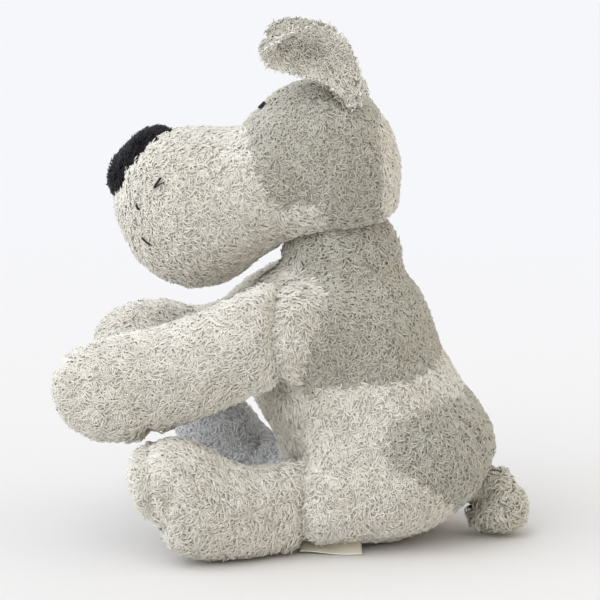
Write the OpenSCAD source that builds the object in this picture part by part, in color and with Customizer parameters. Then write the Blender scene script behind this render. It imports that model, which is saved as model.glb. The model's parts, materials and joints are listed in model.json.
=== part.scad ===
// Seated plush dog: patchwork pile-fabric covers, each with its own stuffing, sewn into one toy.
// Millimetres, +Z up. The dog faces -X and its own left side is -Y. The origin lies on the
// floor, in the middle of the toy's footprint.

/* [Overall] */
// Height of the sitting dog up to the fold of its ears; every other size follows it
sit_height = 220; // [180:5:260]
// Thickness of the pile fabric, with its pile pressed down
cover_t = 2.5; // [1.5:0.5:3]
// Room between a cover and the stuffing inside it
fill_gap = 1.2; // [1.1:0.1:1.6]
// Half of the gap that a seam leaves between two panels
half_seam = 0.1; // [0.05:0.05:0.2]
// Clearance between a limb's round root and the hollow that it turns in
ball_gap = 1.2; // [1.1:0.1:1.5]

/* [Joints] */
// Radius of the neck
neck_r = 26; // [25:0.5:27]
// Radius of the round shoulder end of an arm
shoulder_r = 21.5; // [20.5:0.5:22]
// Radius of the round hip end of a leg
hip_r = 19.5; // [18.5:0.5:20]
// Radius of the round root of the tail
tail_root_r = 7.5; // [7:0.5:8]

/* [Details] */
// How far the nose stands out of the muzzle
nose_t = 1.9; // [1.5:0.2:3]
// Height of a satin-stitched detail over the fabric
stitch_t = 0.8; // [0.6:0.1:1.2]
// Thickness of one layer of an ear, in its middle
ear_t = 3; // [2:0.5:4]
// Width of the sewn-in label
label_w = 24; // [18:1:30]
// How far the label shows past the seat
label_out = 8.6; // [4:0.2:8.6]
// Thickness of the label
label_t = 0.4; // [0.3:0.1:0.4]

/* [Hidden] */

cream = "#d6d0c0";
grey = "#a19b8d";
black = "#1f1e22";
fibre = "#f4f3ee";
pouch_cloth = "#e9e4d6";
satin = "#e6ddc4";

size = sit_height / 220;
sides = 20;
roundness = 2.2;
front_narrowing = 0.36;

// Centres of the round roots that the head, arms, legs and tail turn on
neck_at = [17, 0, 118];
shoulder_at = [0, -38, 90];
hip_at = [9, -36, 20];
tail_at = [81, 0, 22];

// Sections of each stuffed body: place along its length, low side, high side, half width, middle
head_rows = [
    [-79.5, 146, 146, 0, 0],
    [-78.5, 132.5, 158.5, 14, 0],
    [-75, 123.5, 164, 22, 0],
    [-68, 112, 169, 29, 0],
    [-57, 105, 171, 34, 0],
    [-44, 102.3, 172.5, 36, 0],
    [-32, 105.3, 172, 35.5, 0],
    [-23, 111.3, 173, 34, 0],
    [-14, 118.5, 183.5, 34.5, 0],
    [-3, 121, 190.5, 36, 0],
    [9, 122, 193.5, 37.5, 0],
    [21, 122, 191, 37, 0],
    [31, 124, 183.5, 33, 0],
    [38, 127, 173, 25, 0],
    [41.5, 139, 163, 14, 0],
    [42.2, 152, 152, 0, 0]
];
torso_rows = [
    [0, 3, 47, 33, 0],
    [3, -5, 57, 42, 0],
    [10, -11, 68, 48, 0],
    [21, -8, 78.5, 51, 0],
    [33, -9, 83, 51.5, 0],
    [45, -14, 81, 50.5, 0],
    [58, -21, 72.5, 49, 0],
    [70, -24, 64.5, 47, 0],
    [83, -24, 59, 44.2, 0],
    [95, -24, 55, 41, 0],
    [104, -23, 51, 37, 0],
    [110, -17, 46, 31, 0],
    [114, -8.7, 42.7, 25.7, 0],
    [118, -9, 43, 26, 0],
    [126, -7.7, 41.7, 24.7, 0],
    [134, -3.5, 37.5, 20.5, 0],
    [140, 3.2, 30.8, 13.8, 0],
    [143, 9.9, 24.1, 7.1, 0],
    [144, 17, 17, 0, 0]
];
arm_rows = [
    [-96.2, 67, 67, 0, -46],
    [-95, 59, 76.5, 9, -46],
    [-91.5, 53, 82, 14.5, -46],
    [-83, 47.5, 86, 18, -46],
    [-71, 45.5, 89.5, 19.5, -46],
    [-59, 49, 92, 19, -46],
    [-45, 53.5, 95.5, 18, -46],
    [-31, 59, 101, 17.5, -46],
    [-17, 64.5, 107, 17.5, -45.5],
    [-8, 68, 110, 18.5, -42.5],
    [0, 68.5, 111.5, 21.5, -38],
    [10, 71, 109, 19, -38],
    [17, 76.9, 103.1, 13.1, -38],
    [20.5, 83.7, 96.3, 6.3, -38],
    [21.5, 90, 90, 0, -38]
];
leg_rows = [
    [-64, 37, 37, 0, -59],
    [-63, 29, 44, 11, -59],
    [-60, 22, 48, 17.5, -59],
    [-54, 14, 50, 22, -59],
    [-48, 6.5, 50, 23.5, -58.5],
    [-41, 1.8, 49, 23.5, -58],
    [-33, 0.3, 45, 22, -56.5],
    [-25, 0.3, 40, 20.5, -54],
    [-15, 0.3, 37, 19.5, -49.5],
    [-5, 0.4, 37.5, 18, -43.5],
    [3, 0.6, 38.7, 18.7, -37.5],
    [9, 0.5, 39.5, 19.5, -36],
    [19, 3.3, 36.7, 16.7, -36],
    [25, 8.9, 31.1, 11.1, -36],
    [28, 15.6, 24.4, 4.4, -36],
    [28.5, 20, 20, 0, -36]
];
tail_rows = [
    [2.5, 78.5, 91, 7, 0],
    [5.5, 74.5, 95, 11.5, 0],
    [10, 72.5, 96, 12.5, 0],
    [14, 75, 94.5, 11, 0],
    [18, 77, 91.5, 8.5, 0],
    [22, 73.5, 88.5, 7.5, 0],
    [26, 74.7, 87.3, 6.3, 0],
    [28.5, 77.3, 84.7, 3.7, 0],
    [29.5, 81, 81, 0, 0]
];

// Lower and upper edge of the left ear, from its root on the head to its tip; the right one mirrors it
ear_low = [
    [25.5, -28.5, 182.5], [17, -29.5, 188.5], [8, -31, 193], [-1, -34, 195.5], [-7.5, -36.5, 197.5], [-11.5, -37, 201]
];
ear_high = [
    [25.5, -17, 189.5], [23, -26.5, 204], [15, -36, 213.5], [4, -42, 213.5], [-6, -44, 207.5], [-12, -40, 203]
];
// The right ear has slumped a little
ear_slump = 6;
slumped_high = [for (i = [0:5]) ear_high[i] - ear_slump * (0.4 + 0.6 * sin(36 * i)) * [1, 0, 1]];
// How far the middle of the ear is cupped away from its edges, and rounded over the head at its root
ear_cup = [-3.2, 7, 14, 15, 10, 3];

// Smooth curve through rows of numbers; whole values of t are the rows themselves
function row(rows, i) = rows[max(0, min(len(rows) - 1, i))];
function smooth(rows, t) =
    let (i = min(floor(t), len(rows) - 2), f = t - i, a = row(rows, i - 1), b = rows[i])
    let (c = rows[i + 1], d = row(rows, i + 2))
    b + f / 2 * (c - a + f * (2 * a - 5 * b + 4 * c - d + f * (3 * (b - c) + d - a)));

// The same sections, moved in by t on every side, and by less where a section is small
function shrunk(half, t) = half - t * min(1, half / 8);
function inset(rows, t) =
    let (first = rows[0][0], last = rows[len(rows) - 1][0], middle = (first + last) / 2)
    [for (r = rows)
        let (centre = (r[1] + r[2]) / 2, half = shrunk((r[2] - r[1]) / 2, t))
        [middle + (r[0] - middle) * (1 - 2 * t / (last - first)),
            centre - half, centre + half, shrunk(r[3], t), r[4]]];

// The same sections, pressed in from above by depth at the place x, where a limb holds less stuffing
function creased(rows, depth, x, reach) =
    [for (r = rows) [r[0], r[1], r[2] - depth * exp(-pow((r[0] - x) / reach, 2)), r[3], r[4]]];

// A point on the skin, at row u and angle v. Bodies along X start below and turn over the left
// side to the top; bodies along Z start in front and turn over the left side to the back.
// Bodies along Z are narrower in front than behind.
function bulge(s) = sign(s) * pow(abs(s), 2 / roundness);
function skin(rows, along, u, v) =
    let (r = smooth(rows, u), a = (r[1] + r[2]) / 2 - (r[2] - r[1]) / 2 * bulge(cos(v)))
    let (narrow = along == "z" ? 1 - front_narrowing * pow(max(0, cos(v)), 2) : 1)
    let (y = r[4] - r[3] * narrow * bulge(sin(v)))
    along == "x" ? [r[0], y, a] : [a, y, r[0]];

function split(a, b, c, d) = [[a, b, c], [a, c, d]];
function turned(faces, back) = back ? [for (f = faces) [for (i = [len(f) - 1:-1:0]) f[i]]] : faces;
function joined(lists) = [for (part = lists) each part];

// Closed solid between two open grids of points with the same rows and columns
module slab(outer, inner, back) {
    rows = len(outer);
    cols = len(outer[0]);
    n = rows * cols;
    faces = joined([
        for (i = [0:rows - 2], j = [0:cols - 2])
            let (o = i * cols + j)
            concat(split(o, o + 1, o + cols + 1, o + cols),
                split(n + o, n + o + cols, n + o + cols + 1, n + o + 1)),
        for (i = [0:rows - 2])
            let (a = i * cols, b = a + cols, c = b - 1, d = c + cols)
            concat(split(a, b, n + b, n + a), split(d, c, n + c, n + d)),
        for (j = [0:cols - 2])
            let (a = j + 1, b = (rows - 1) * cols + j)
            concat(split(a, a - 1, n + a - 1, n + a), split(b, b + 1, n + b + 1, n + b))
    ]);
    polyhedron(points = concat(joined(outer), joined(inner)), faces = turned(faces, back));
}

// Side faces of closed rings of points, ring after ring from index at
function wall(rings, cols, at) = joined([
    for (i = [0:rings - 2], j = [0:cols - 1])
        let (k = (j + 1) % cols, o = at + i * cols)
        split(o + j, o + k, o + cols + k, o + cols + j)
]);

// Solid body between its rows from and to, closed by a flat end at each
module body(rows, along, from, to, t, steps) {
    shape = inset(rows, t);
    rings = [for (i = [0:steps])
        [for (j = [0:sides - 1]) skin(shape, along, from + (to - from) * i / steps, 360 * j / sides)]];
    ends = [[for (j = [sides - 1:-1:0]) j], [for (j = [0:sides - 1]) steps * sides + j]];
    polyhedron(points = joined(rings), faces = turned(concat(wall(steps + 1, sides, 0), ends), along == "z"));
}

// Cup of fabric round one end of a body: from rim(v) to row end, where it is closed
module cup(rows, along, rim, end, steps) {
    n = (steps + 1) * sides;
    function ring(shape, i) = [for (j = [0:sides - 1])
        let (v = 360 * j / sides)
        skin(shape, along, rim(v) + (end - rim(v)) * i / steps, v)];
    outer = [for (i = [0:steps]) each ring(rows, i)];
    inner = [for (i = [0:steps]) each ring(inset(rows, cover_t), i)];
    faces = concat(
        wall(steps + 1, sides, 0),
        turned(wall(steps + 1, sides, n), true),
        [[for (j = [0:sides - 1]) n - sides + j], [for (j = [sides - 1:-1:0]) 2 * n - sides + j]],
        joined([for (j = [0:sides - 1]) let (k = (j + 1) % sides) split(k, j, n + j, n + k)])
    );
    backward = (along == "z") != (end < rim(0));
    polyhedron(points = concat(outer, inner), faces = turned(faces, backward));
}

// Panel of fabric on a body, for angles v0 to v1 and from row low(v) to row high(v)
module panel(rows, along, v0, v1, low, high, v_steps, u_steps, out = 0, in = cover_t) {
    function grid(shape) = [for (i = [0:u_steps])
        [for (j = [0:v_steps])
            let (v = v0 + (v1 - v0) * j / v_steps)
            skin(shape, along, low(v) + (high(v) - low(v)) * i / u_steps, v)]];
    slab(grid(inset(rows, out)), grid(inset(rows, in)), along == "z");
}

module ball(at, r) {
    translate(at) sphere(r, $fn = 64);
}

// The hollows in the torso that the limbs turn in
module limb_hollows() {
    for (flip = [0, 1]) mirror([0, flip, 0]) {
        ball(shoulder_at, shoulder_r + ball_gap);
        ball(hip_at, hip_r + ball_gap);
    }
    ball(tail_at, tail_root_r + ball_gap);
}

// ---------------------------------------------------------------- torso
// Rows of the torso where its seams run
seat_seam = 1;
collar_seam = 9.6;
cape_top = 14.6;
cape_front_v = 78;
chest_seam_v = 8;
rump_v = 94;
rump_middle = 4.6;
gap_u = half_seam / 10;
gap_v = half_seam / 0.6;
function cape_seam(v) = 7 + 0.75 * pow((v - cape_front_v) / (180 - cape_front_v), 2);
// How far round from the middle of the back an angle is, as a share of the rump patch's half
function from_back(v) = abs(180 - v) / (181 - rump_v);
function rump_top(v) = rump_middle + 1.75 * sqrt(1 - pow(from_back(v), 2.5));
function rump_foot(v) = rump_middle - 2.35 * (1 - pow(from_back(v), 2));

module pouch_shape(grow) {
    translate([40, 0, 25])
        rotate_extrude($fn = 64)
            polygon([
                [0, -14 - grow], [13, -12.5 - grow], [21 + grow, -7], [24 + grow, 0],
                [21 + grow, 7], [13, 12.5 + grow], [0, 14 + grow]
            ]);
}
module torso_stuffing() {
    color(fibre) difference() {
        body(torso_rows, "z", 0, 17.9, cover_t + fill_gap, 18);
        limb_hollows();
        pouch_shape(fill_gap);
    }
}
module pellet_pouch() {
    color(pouch_cloth) pouch_shape(0);
}
module cape_left() {
    color(grey) difference() {
        panel(torso_rows, "z", cape_front_v + gap_v, 180 - gap_v,
            function(v) cape_seam(v) + gap_u, function(v) cape_top, 8, 7);
        limb_hollows();
    }
}
module cape_right() {
    mirror([0, 1, 0]) cape_left();
}
module chest_part(shade, v0, v1, low, high, steps) {
    color(shade) difference() {
        panel(torso_rows, "z", v0 + gap_v, v1 - gap_v,
            function(v) low + gap_u, function(v) high - gap_u, 5, steps);
        limb_hollows();
    }
}
module collar_panel() {
    chest_part(grey, -cape_front_v, chest_seam_v, collar_seam, cape_top, 4);
}
module chest_left() {
    chest_part(cream, chest_seam_v, cape_front_v, seat_seam, cape_top, 11);
}
module chest_right() {
    chest_part(cream, -cape_front_v, chest_seam_v, seat_seam, collar_seam, 8);
}
module rump_shape(grow, out, in) {
    panel(torso_rows, "z", rump_v - grow * gap_v, 360 - rump_v + grow * gap_v,
        function(v) rump_foot(max(rump_v, min(360 - rump_v, v))) - grow * gap_u,
        function(v) rump_top(max(rump_v, min(360 - rump_v, v))) + grow * gap_u, 16, 6, out, in);
}
module flank_left() {
    color(cream) difference() {
        panel(torso_rows, "z", cape_front_v + gap_v, 180 - gap_v,
            function(v) seat_seam + gap_u, function(v) cape_seam(v) - gap_u, 8, 7);
        limb_hollows();
        rump_shape(2, -2, cover_t + 2);
    }
}
module flank_right() {
    mirror([0, 1, 0]) flank_left();
}
module rump_patch() {
    color(grey) difference() {
        rump_shape(0, 0, cover_t);
        limb_hollows();
    }
}
module seat_panel() {
    color(cream) difference() {
        cup(torso_rows, "z", function(v) seat_seam - gap_u, 0, 3);
        limb_hollows();
    }
}
module sewn_label() {
    color(satin) translate([4, -43.5, 0]) cube([label_w, label_out, label_t]);
}

// ---------------------------------------------------------------- head
neck_rim_r = neck_r + ball_gap;
face_low_v = 66;
throat_end = 10.3;
function back_seam(v) = 12.3 + 0.7 * pow(sin(v), 2);
function face_seam(v) = 6.9 + 1.6 * pow((180 - v) / (180 - face_low_v), 1.5);
nose_v = 75;
nose_gap = 0.5;
function nose_edge(v) = 3.9 - 2.2 * pow(abs(v - 180) / nose_v, 1.2);
muzzle_back = face_seam(face_low_v);

module neck_hollow() {
    ball(neck_at, neck_rim_r);
}
module head_stuffing() {
    color(fibre) difference() {
        body(head_rows, "x", 0.15, 14.85, cover_t + fill_gap, 16);
        neck_hollow();
    }
}
module muzzle_left() {
    color(cream) difference() {
        panel(head_rows, "x", gap_v, 180 - gap_v, function(v) 0.15,
            function(v) (v < face_low_v ? muzzle_back : face_seam(v)) - gap_u, 10, 9);
        neck_hollow();
    }
}
module muzzle_right() {
    mirror([0, 1, 0]) muzzle_left();
}
// The grey side of the head; behind the throat it goes on down to the middle
module face_left() {
    end = function(v) back_seam(v) - gap_u;
    color(grey) difference() {
        union() {
            panel(head_rows, "x", face_low_v + gap_v, 180 - gap_v, function(v) face_seam(v) + gap_u, end, 7, 5);
            panel(head_rows, "x", gap_v, face_low_v + 2, function(v) throat_end + gap_u, end, 5, 3);
        }
        neck_hollow();
    }
}
module face_right() {
    mirror([0, 1, 0]) face_left();
}
module throat_panel() {
    color(cream) difference() {
        panel(head_rows, "x", -face_low_v + gap_v, face_low_v - gap_v,
            function(v) muzzle_back + gap_u, function(v) throat_end - gap_u, 10, 3);
        neck_hollow();
    }
}
module back_of_head() {
    color(cream) difference() {
        cup(head_rows, "x", function(v) back_seam(v) + gap_u, 14.85, 3);
        neck_hollow();
    }
}
module nose_cover() {
    color(black) panel(head_rows, "x", 180 - nose_v, 180 + nose_v,
        function(v) 0.2, function(v) nose_edge(v), 10, 5, -nose_t, -nose_gap);
}
module stitch(v0, v1, u0, u1) {
    color(black) panel(head_rows, "x", v0, v1, function(v) u0, function(v) u1, 2, 2, -stitch_t, -half_seam);
}
module eye_left() {
    stitch(157, 163, 7.7, 8.1);
}
module eye_right() {
    mirror([0, 1, 0]) eye_left();
}
module muzzle_stitches() {
    for (flip = [0, 1]) mirror([0, flip, 0]) {
        stitch(108, 113, 4, 4.3);
        stitch(89, 92, 3.2, 3.45);
        stitch(65, 68, 3.3, 3.9);
    }
}

// ---------------------------------------------------------------- ears
// A point of an ear's middle surface, and the direction from there to its grey side
function ear_normal(high, s) =
    let (e = 0.05, a = max(0, s - e), b = min(5, s + e))
    let (along = smooth(ear_low, b) + smooth(high, b) - smooth(ear_low, a) - smooth(high, a))
    let (n = cross(along, smooth(high, s) - smooth(ear_low, s)))
    n / norm(n);
function ear_point(high, s, w, side) =
    let (lift = smooth(ear_cup, s) * (1 - w * w) + side * (0.25 + 0.75 * (1 - w * w)))
    smooth(ear_low, s) * (1 - w) / 2 + smooth(high, s) * (1 + w) / 2 + ear_normal(high, s) * lift;
module ear_layer(high, from, to) {
    function grid(side) = [for (i = [0:10]) [for (j = [0:8]) ear_point(high, i / 2, j / 4 - 1, side)]];
    slab(grid(to), grid(from), false);
}
module ear_outer(high) {
    color(grey) ear_layer(high, half_seam, ear_t);
}
module ear_lining(high) {
    color(cream) ear_layer(high, -ear_t, -half_seam);
}
module ear_left_outer() {
    ear_outer(ear_high);
}
module ear_left_lining() {
    ear_lining(ear_high);
}
module ear_right_outer() {
    mirror([0, 1, 0]) ear_outer(slumped_high);
}
module ear_right_lining() {
    mirror([0, 1, 0]) ear_lining(slumped_high);
}

// ---------------------------------------------------------------- arms
arm_end = len(arm_rows) - 1.15;
// The right arm is creased between its shoulder and its paw, and its paw is held a little higher
right_paw_lift = 3;
right_arm_rows = [for (r = creased(arm_rows, 10, -45, 17))
    let (lift = right_paw_lift * pow(r[0] / arm_rows[0][0], 2))
    [r[0], r[1] + lift, r[2] + lift, r[3], r[4]]];
module arm_half(rows, v0) {
    color(cream) panel(rows, "x", v0 + gap_v, v0 + 180 - gap_v,
        function(v) 0.15, function(v) arm_end, 8, 13);
}
module arm_filling(rows) {
    color(fibre) body(rows, "x", 0.15, arm_end, cover_t + fill_gap, 13);
}
module arm_left_outer() {
    arm_half(arm_rows, 0);
}
module arm_left_inner() {
    arm_half(arm_rows, 180);
}
module arm_left_stuffing() {
    arm_filling(arm_rows);
}
module arm_right_outer() {
    mirror([0, 1, 0]) arm_half(right_arm_rows, 0);
}
module arm_right_inner() {
    mirror([0, 1, 0]) arm_half(right_arm_rows, 180);
}
module arm_right_stuffing() {
    mirror([0, 1, 0]) arm_filling(right_arm_rows);
}

// ---------------------------------------------------------------- legs
sole_seam = 3;
leg_end = len(leg_rows) - 1.15;
right_leg_rows = creased(leg_rows, 8, -19, 12);
module leg_half(rows, v0, shade) {
    color(shade) panel(rows, "x", v0 + gap_v, v0 + 180 - gap_v,
        function(v) sole_seam + gap_u, function(v) leg_end, 8, 10);
}
module sole(rows, shade) {
    color(shade) cup(rows, "x", function(v) sole_seam - gap_u, 0.15, 3);
}
module leg_filling(rows) {
    color(fibre) body(rows, "x", 0.15, leg_end, cover_t + fill_gap, 13);
}
module leg_left_outer() {
    leg_half(leg_rows, 0, cream);
}
module leg_left_inner() {
    leg_half(leg_rows, 180, cream);
}
module leg_left_sole() {
    sole(leg_rows, cream);
}
module leg_left_stuffing() {
    leg_filling(leg_rows);
}
module leg_right_outer() {
    mirror([0, 1, 0]) leg_half(right_leg_rows, 0, grey);
}
module leg_right_inner() {
    mirror([0, 1, 0]) leg_half(right_leg_rows, 180, grey);
}
module leg_right_sole() {
    mirror([0, 1, 0]) sole(right_leg_rows, grey);
}
module leg_right_stuffing() {
    mirror([0, 1, 0]) leg_filling(right_leg_rows);
}

// ---------------------------------------------------------------- tail
tail_end = len(tail_rows) - 1.15;
module tail_left() {
    color(grey) panel(tail_rows, "z", gap_v, 180 - gap_v, function(v) 0, function(v) tail_end, 6, 8);
}
module tail_right() {
    mirror([0, 1, 0]) tail_left();
}
module tail_stuffing() {
    color(fibre) body(tail_rows, "z", 0, tail_end, cover_t + fill_gap, 9);
}

scale(size) torso_stuffing();
scale(size) pellet_pouch();
scale(size) cape_left();
scale(size) cape_right();
scale(size) collar_panel();
scale(size) chest_left();
scale(size) chest_right();
scale(size) flank_left();
scale(size) flank_right();
scale(size) rump_patch();
scale(size) seat_panel();
scale(size) sewn_label();
scale(size) head_stuffing();
scale(size) muzzle_left();
scale(size) muzzle_right();
scale(size) face_left();
scale(size) face_right();
scale(size) throat_panel();
scale(size) back_of_head();
scale(size) nose_cover();
scale(size) eye_left();
scale(size) eye_right();
scale(size) muzzle_stitches();
scale(size) ear_left_outer();
scale(size) ear_left_lining();
scale(size) ear_right_outer();
scale(size) ear_right_lining();
scale(size) arm_left_outer();
scale(size) arm_left_inner();
scale(size) arm_left_stuffing();
scale(size) arm_right_outer();
scale(size) arm_right_inner();
scale(size) arm_right_stuffing();
scale(size) leg_left_outer();
scale(size) leg_left_inner();
scale(size) leg_left_sole();
scale(size) leg_left_stuffing();
scale(size) leg_right_outer();
scale(size) leg_right_inner();
scale(size) leg_right_sole();
scale(size) leg_right_stuffing();
scale(size) tail_left();
scale(size) tail_right();
scale(size) tail_stuffing();
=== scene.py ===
"""Seated plush dog: padded skins over the CAD stuffing, matted pile, stitched details, studio."""
import json
import math
from collections import namedtuple

import bmesh
import bpy
import numpy as np
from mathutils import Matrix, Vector
from mathutils.bvhtree import BVHTree
from mathutils.kdtree import KDTree


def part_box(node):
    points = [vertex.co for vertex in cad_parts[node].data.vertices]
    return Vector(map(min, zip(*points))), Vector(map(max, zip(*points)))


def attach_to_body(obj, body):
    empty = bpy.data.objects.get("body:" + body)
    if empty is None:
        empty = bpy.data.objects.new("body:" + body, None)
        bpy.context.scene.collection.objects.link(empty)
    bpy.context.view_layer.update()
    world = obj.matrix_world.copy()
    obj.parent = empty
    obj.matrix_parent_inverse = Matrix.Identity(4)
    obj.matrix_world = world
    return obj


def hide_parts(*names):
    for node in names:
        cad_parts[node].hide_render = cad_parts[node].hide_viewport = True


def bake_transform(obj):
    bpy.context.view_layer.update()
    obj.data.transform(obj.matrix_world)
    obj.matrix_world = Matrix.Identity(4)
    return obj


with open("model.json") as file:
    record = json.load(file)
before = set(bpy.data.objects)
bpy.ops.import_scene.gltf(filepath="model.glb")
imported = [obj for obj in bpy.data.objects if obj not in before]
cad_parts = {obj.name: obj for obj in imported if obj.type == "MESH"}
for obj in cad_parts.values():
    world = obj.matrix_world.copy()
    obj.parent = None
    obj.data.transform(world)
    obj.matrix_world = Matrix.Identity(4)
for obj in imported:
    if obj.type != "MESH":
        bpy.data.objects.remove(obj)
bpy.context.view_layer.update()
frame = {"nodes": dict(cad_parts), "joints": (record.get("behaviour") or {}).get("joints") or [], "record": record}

MM = 0.001
SEED = 11
random = np.random.default_rng(SEED)
joint_at = {j["name"]: Vector(j["pos_m"]) for j in frame["joints"]}
scene = bpy.context.scene

# How far the knitted backing lies under the CAD surface, so that the pile ends just above it
BACKING_DEPTH = 2.2 * MM
# From the surface of a stuffing to the outside of its cover
COVER_AND_GAP = 3.7 * MM
VOXEL = 2.6 * MM
# Planes of the arm and hip seams, and of the waist, where the upper and lower skins meet
ARM_SEAM_X = -3 * MM
HIP_SEAM_X = 6 * MM
WAIST_Z = 57 * MM
FLOOR_GAP = 0.25 * MM
# Camera: degrees round from the dog's left side and up, metres, millimetres of lens
CAMERA_AZIMUTH, CAMERA_ELEVATION, CAMERA_DISTANCE = 6, 8, 1.0
CAMERA_TARGET = Vector((-0.0004, 0, 0.0985))
CAMERA_LENS = 142.9
# Light
SKY_STRENGTH = 0.84
SKY_COOL, SKY_WARM = (0.92, 0.985, 1.1), (1.08, 0.985, 0.78)
SKY_LEAN = (0.36, 0, -0.3)
KEY_STRENGTH = 1.52
KEY_WIDTH = 75
KEY_FROM = (-0.72, -0.62, 0.92)
KEY_COLOUR = (0.965, 0.99, 1.03)
# Floor
FLOOR_REACH = 60
# Paper colour near the camera and far behind the toy: the whiter, cooler far end is painted light
PAPER_NEAR, PAPER_FAR = (0.81, 0.787, 0.762), (0.815, 0.804, 0.81)


# ---------------------------------------------------------------- studio
def aim(thing, target):
    thing.rotation_mode = "QUATERNION"
    thing.rotation_quaternion = (Vector(target) - thing.location).to_track_quat("-Z", "Y")


def make_camera():
    azimuth, elevation = math.radians(CAMERA_AZIMUTH), math.radians(CAMERA_ELEVATION)
    back = Vector((
        math.sin(azimuth) * math.cos(elevation),
        -math.cos(azimuth) * math.cos(elevation),
        math.sin(elevation),
    ))
    camera = bpy.data.objects.new("camera", bpy.data.cameras.new("camera"))
    camera.data.sensor_width = 36
    camera.data.lens = CAMERA_LENS
    camera.data.clip_end = 200
    camera.location = CAMERA_TARGET + back * CAMERA_DISTANCE
    scene.collection.objects.link(camera)
    aim(camera, CAMERA_TARGET)
    scene.camera = camera


def make_sky():
    """Even white surroundings, cooler on the upper left and warmer on the lower right."""
    world = bpy.data.worlds.new("studio")
    world.use_nodes = True
    tree = world.node_tree
    place = tree.nodes.new("ShaderNodeTexCoord")
    lean = tree.nodes.new("ShaderNodeVectorMath")
    lean.operation = "DOT_PRODUCT"
    lean.inputs[1].default_value = SKY_LEAN
    middle = tree.nodes.new("ShaderNodeMath")
    middle.inputs[1].default_value = 0.5
    tint = tree.nodes.new("ShaderNodeValToRGB")
    tint.color_ramp.elements[0].color = (*SKY_COOL, 1)
    tint.color_ramp.elements[1].color = (*SKY_WARM, 1)
    sky = tree.nodes["Background"]
    sky.inputs["Strength"].default_value = SKY_STRENGTH
    tree.links.new(place.outputs["Generated"], lean.inputs[0])
    tree.links.new(lean.outputs["Value"], middle.inputs[0])
    tree.links.new(middle.outputs[0], tint.inputs["Fac"])
    tree.links.new(tint.outputs["Color"], sky.inputs["Color"])
    scene.world = world


def make_key():
    light = bpy.data.lights.new("key", "SUN")
    light.energy = KEY_STRENGTH
    light.angle = math.radians(KEY_WIDTH)
    light.color = KEY_COLOUR
    lamp = bpy.data.objects.new("key", light)
    lamp.location = KEY_FROM
    scene.collection.objects.link(lamp)
    aim(lamp, (0, 0, 0))


def make_floor():
    """A wide sheet of pale paper, a little whiter far behind the toy: painted light on the paper."""
    mesh = bpy.data.meshes.new("floor")
    corners = [(-FLOOR_REACH, -FLOOR_REACH, 0), (FLOOR_REACH, -FLOOR_REACH, 0)]
    corners += [(FLOOR_REACH, FLOOR_REACH, 0), (-FLOOR_REACH, FLOOR_REACH, 0)]
    mesh.from_pydata(corners, [], [(0, 1, 2, 3)])
    floor = new_piece("floor", mesh)
    n = Nodes("studio_paper")
    place = n.add("ShaderNodeTexCoord")
    parts = n.add("ShaderNodeSeparateXYZ", {"Vector": place.outputs["Object"]})
    reach = {"From Min": -0.3, "From Max": 1.2}
    depth = n.add("ShaderNodeMapRange", {"Value": parts.outputs["Y"], **reach})
    n.link(n.ramp(depth.outputs[0], [(0, PAPER_NEAR), (1, PAPER_FAR)]), "Base Color")
    mesh.materials.append(n.finish(0.85, 0))


def make_studio():
    scene.view_settings.view_transform = "Standard"
    make_sky()
    make_key()
    make_floor()


# ---------------------------------------------------------------- materials
class Nodes:
    """Short names for building one material's node tree."""

    def __init__(self, name):
        self.material = bpy.data.materials.new(name)
        self.material.use_nodes = True
        self.tree = self.material.node_tree
        self.shader = self.tree.nodes["Principled BSDF"]

    def add(self, kind, inputs=(), **settings):
        node = self.tree.nodes.new(kind)
        for key, value in settings.items():
            setattr(node, key, value)
        for key, value in dict(inputs).items():
            if hasattr(value, "is_linked"):
                self.tree.links.new(value, node.inputs[key])
            else:
                node.inputs[key].default_value = value
        return node

    def link(self, output, socket):
        self.tree.links.new(output, self.shader.inputs[socket])

    def noise(self, scale, detail=2.0):
        place = self.add("ShaderNodeTexCoord")
        node = self.add("ShaderNodeTexNoise", {"Vector": place.outputs["Object"]})
        node.inputs["Scale"].default_value = scale
        node.inputs["Detail"].default_value = detail
        return node.outputs["Fac"]

    def attribute(self, name):
        return self.add("ShaderNodeAttribute", attribute_name=name).outputs["Fac"]

    def ramp(self, value, stops):
        node = self.add("ShaderNodeValToRGB", {"Fac": value})
        ramp = node.color_ramp
        ramp.elements[0].position, ramp.elements[0].color = stops[0][0], (*stops[0][1], 1)
        ramp.elements[1].position, ramp.elements[1].color = stops[-1][0], (*stops[-1][1], 1)
        for place, colour in stops[1:-1]:
            ramp.elements.new(place).color = (*colour, 1)
        return node.outputs["Color"]

    def mix(self, amount, first, second, blend="MIX"):
        node = self.add("ShaderNodeMix", data_type="RGBA", blend_type=blend)
        for socket, value in ((0, amount), (6, first), (7, second)):
            if hasattr(value, "is_linked"):
                self.tree.links.new(value, node.inputs[socket])
            else:
                node.inputs[socket].default_value = value
        return node.outputs[2]

    def bump(self, height, strength, distance):
        node = self.add("ShaderNodeBump", {"Height": height})
        node.inputs["Strength"].default_value = strength
        node.inputs["Distance"].default_value = distance
        self.link(node.outputs["Normal"], "Normal")

    def finish(self, roughness, sheen, sheen_roughness=0.5):
        self.shader.inputs["Roughness"].default_value = roughness
        self.shader.inputs["Specular IOR Level"].default_value = 0.15
        self.shader.inputs["Sheen Weight"].default_value = sheen
        self.shader.inputs["Sheen Roughness"].default_value = sheen_roughness
        return self.material


def scaled(colour, k):
    return tuple(c * k for c in colour)


# Factors on a wisp's colour, from the darkest wisps to the lightest
WISP_TONES = [(0.0, (0.82, 0.8, 0.78)), (0.5, (0.97, 0.97, 0.96)), (1.0, (1.07, 1.07, 1.06))]


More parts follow.
